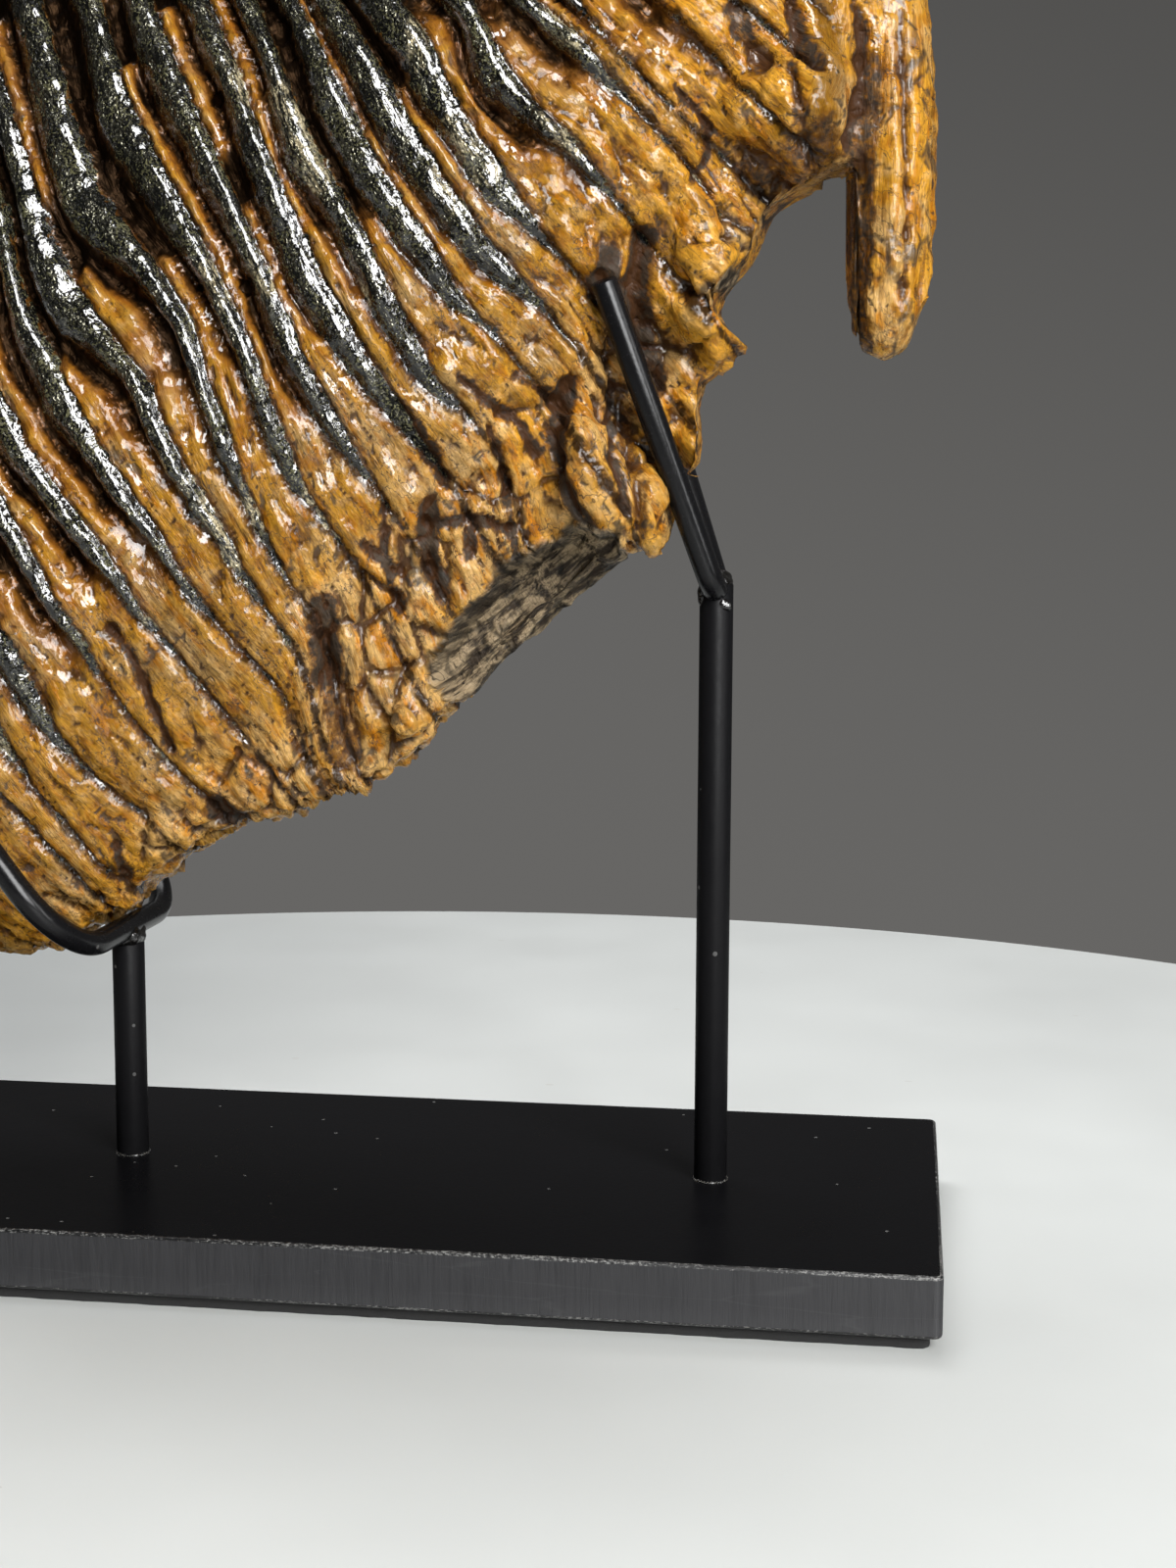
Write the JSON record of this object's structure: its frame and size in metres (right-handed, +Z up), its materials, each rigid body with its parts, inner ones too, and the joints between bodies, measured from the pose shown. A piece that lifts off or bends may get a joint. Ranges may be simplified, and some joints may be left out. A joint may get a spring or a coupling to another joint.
{
  "type": "fossil mammoth tooth on a display stand",
  "caption": "Large ridged fossil molar standing on its corner in a bent-rod cradle and fork, welded to posts on a flat rectangular base.",
  "frame": {"origin": "middle of the felt sheet's underside, on the surface the stand rests on", "axes": "+X along the base towards the tooth's front end, +Y away from the tooth's showing side, +Z up"},
  "size_m": [0.3, 0.124, 0.3367],
  "materials": {
    "fossil": "varnished fossil: dark enamel ridges, ochre cementum between them and over the roots",
    "rod_paint": "satin black paint",
    "base_paint": "satin black paint, worn to light specks along the top edges",
    "felt": "black felt"
  },
  "bodies": {
    "root": {"mammoth_tooth": "fossil", "left_cradle": "rod_paint", "right_fork": "rod_paint", "left_post": "rod_paint", "right_post": "rod_paint", "base_plate": "base_paint", "felt_sheet": "felt"}
  },
  "joints": []
}
